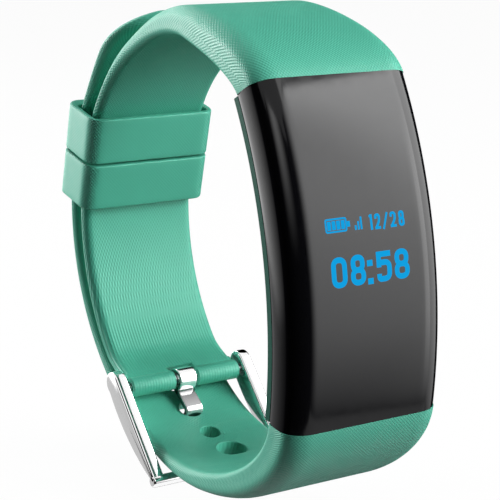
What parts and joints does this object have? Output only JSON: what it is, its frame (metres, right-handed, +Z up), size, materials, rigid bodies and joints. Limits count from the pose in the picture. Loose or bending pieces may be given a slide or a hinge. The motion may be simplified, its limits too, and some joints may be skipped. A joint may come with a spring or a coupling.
{
  "type": "fitness tracker band",
  "caption": "Fastened fitness tracker band: curved glossy display module, two tapering rubber straps, keepers that slide, and a tang buckle on a spring bar.",
  "frame": {"origin": "middle of the wrist opening, on the axis that the round of the straps is centred on", "axes": "+X along the forearm, -Y the way the display faces, +Z up along the display, towards the buckle strap's end of the module"},
  "size_m": [0.0206, 0.0567, 0.06],
  "materials": {
    "cover": "polished",
    "clear_pad": "clear",
    "panel": "smooth",
    "flex": "film",
    "contact": "gold plated",
    "dark_plastic": "moulded",
    "board": "solder mask",
    "chip": "moulded",
    "passive": "ceramic",
    "connector": "moulded",
    "foil": "foil",
    "seal": "soft",
    "steel": "turned",
    "tungsten": "sintered",
    "led": "moulded",
    "window": "polished",
    "shell": "moulded",
    "strap": "fine ribbed, satin",
    "polished_steel": "polished"
  },
  "bodies": {
    "band": {"front_cover": "cover", "optical_pad": "clear_pad", "display_panel": "panel", "display_flex": "flex", "touch_pad": "contact", "inner_frame": "dark_plastic", "main_board": "board", "processor_chip": "chip", "radio_chip": "chip", "motion_sensor": "chip", "board_passives": "passive", "antenna_strip": "contact", "board_connector": "connector", "battery_cell": "foil", "battery_tape": "seal", "battery_leads": "contact", "motor_can": "steel", "motor_boot": "seal", "sensor_board": "board", "sensor_leds": "led", "photodiode": "chip", "sensor_window": "window", "charging_contacts": "contact", "case_seals": "seal", "rear_shell": "shell", "strap_upper": "strap", "strap_lower": "strap", "bar_tube": "steel", "bar_spring": "steel"},
    "motor_rotor": {"motor_weight": "tungsten"},
    "upper_keeper": {"keeper_upper": "strap"},
    "lower_keeper": {"keeper_lower": "strap"},
    "near_tip": {"bar_tip_near": "steel"},
    "far_tip": {"bar_tip_far": "steel"},
    "buckle": {"buckle_frame": "polished_steel"},
    "tang": {"buckle_tang": "polished_steel"}
  },
  "joints": [
    {"name": "motor_spin", "type": "hinge", "parent": "band", "child": "motor_rotor", "pos_m": [0, -0.02178, -0.0102], "axis": [1, 0, 0], "continuous": true},
    {"name": "upper_keeper_slide", "type": "hinge", "parent": "band", "child": "upper_keeper", "pos_m": [0, 0, 0], "axis": [1, 0, 0], "range_deg": [0, 8]},
    {"name": "lower_keeper_slide", "type": "hinge", "parent": "band", "child": "lower_keeper", "pos_m": [0, 0, 0], "axis": [1, 0, 0], "range_deg": [-30, 0]},
    {"name": "near_tip_press", "type": "slide", "parent": "band", "child": "near_tip", "axis": [1, 0, 0], "range_m": [0, 0.0011], "stiffness_N_per_m": 250, "deforming": ["bar_spring"]},
    {"name": "far_tip_press", "type": "slide", "parent": "band", "child": "far_tip", "axis": [-1, 0, 0], "range_m": [0, 0.0011], "stiffness_N_per_m": 250},
    {"name": "buckle_swing", "type": "hinge", "parent": "band", "child": "buckle", "pos_m": [0, 0.01469, -0.02029], "axis": [1, 0, 0], "range_deg": [-1, 8]},
    {"name": "tang_lift", "type": "hinge", "parent": "buckle", "child": "tang", "pos_m": [0, 0.01469, -0.02029], "axis": [1, 0, 0], "range_deg": [0, 6]}
  ]
}
